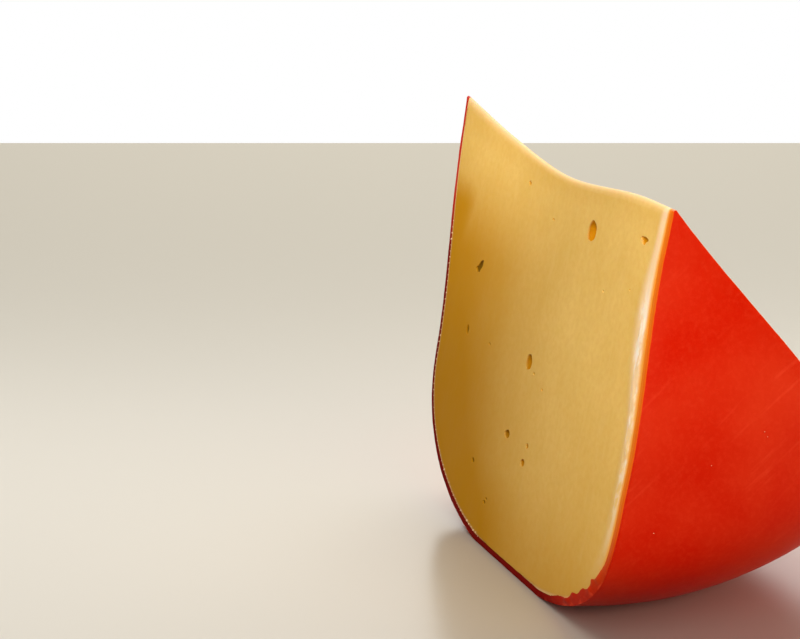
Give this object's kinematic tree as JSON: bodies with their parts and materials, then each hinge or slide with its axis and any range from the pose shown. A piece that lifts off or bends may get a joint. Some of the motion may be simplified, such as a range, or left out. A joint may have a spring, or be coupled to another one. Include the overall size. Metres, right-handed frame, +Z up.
{
  "type": "cheese wedge",
  "caption": "Wedge of semi-hard cheese cut from a small wax-coated wheel, standing on its curved rim with the thin edge up.",
  "frame": {"origin": "under the middle of the wedge, on the flat spot that it rests on", "axes": "+Z up; the wheel's axis and the thin edge lie along Y, with the near flank facing -Y; the front cut faces -X"},
  "size_m": [0.0662, 0.1054, 0.083],
  "materials": {
    "wax_coat": "smooth orange-red cheese wax, softly glossy; its two cut faces are pale yellow cheese",
    "cheese": "knife-cut semi-hard cheese, pale golden yellow, slightly moist and translucent"
  },
  "bodies": {
    "root": {"cheese_wedge": "wax_coat"}
  },
  "joints": []
}
